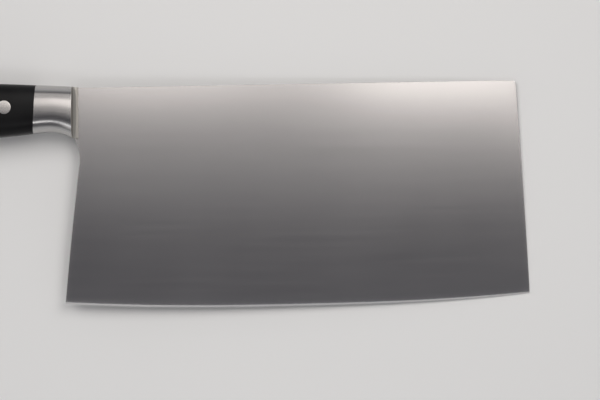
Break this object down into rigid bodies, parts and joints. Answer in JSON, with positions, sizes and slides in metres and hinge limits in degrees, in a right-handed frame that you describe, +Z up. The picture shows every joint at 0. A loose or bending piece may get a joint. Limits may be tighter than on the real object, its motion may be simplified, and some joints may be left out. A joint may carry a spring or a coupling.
{
  "type": "meat cleaver",
  "caption": "Flat rectangular cleaver with a gently curved edge, a polished bolster, a full tang and riveted black handle scales.",
  "frame": {"origin": "on the surface the cleaver lies on, under the middle of its bounding box", "axes": "+X from the butt towards the blade's front edge, +Y from the cutting edge to the spine, +Z up, out of the right face. The cleaver lies on its left side, and its middle plane is tilted 2.0 degrees about Y and 0.4 degrees about X, because the handle is thicker than the blade"},
  "size_m": [0.3482, 0.1156, 0.0217],
  "materials": {
    "blade_steel": "fine satin, brushed along the spine",
    "bolster_steel": "mirror polished",
    "handle": "black satin composite",
    "rivet_steel": "polished, fine circular scratches"
  },
  "bodies": {
    "root": {"blade": "blade_steel", "right_bolster": "bolster_steel", "left_bolster": "bolster_steel", "right_scale": "handle", "left_scale": "handle", "front_rivet_socket": "rivet_steel", "front_rivet_pin": "rivet_steel", "middle_rivet_socket": "rivet_steel", "middle_rivet_pin": "rivet_steel", "rear_rivet_socket": "rivet_steel", "rear_rivet_pin": "rivet_steel"}
  },
  "joints": []
}
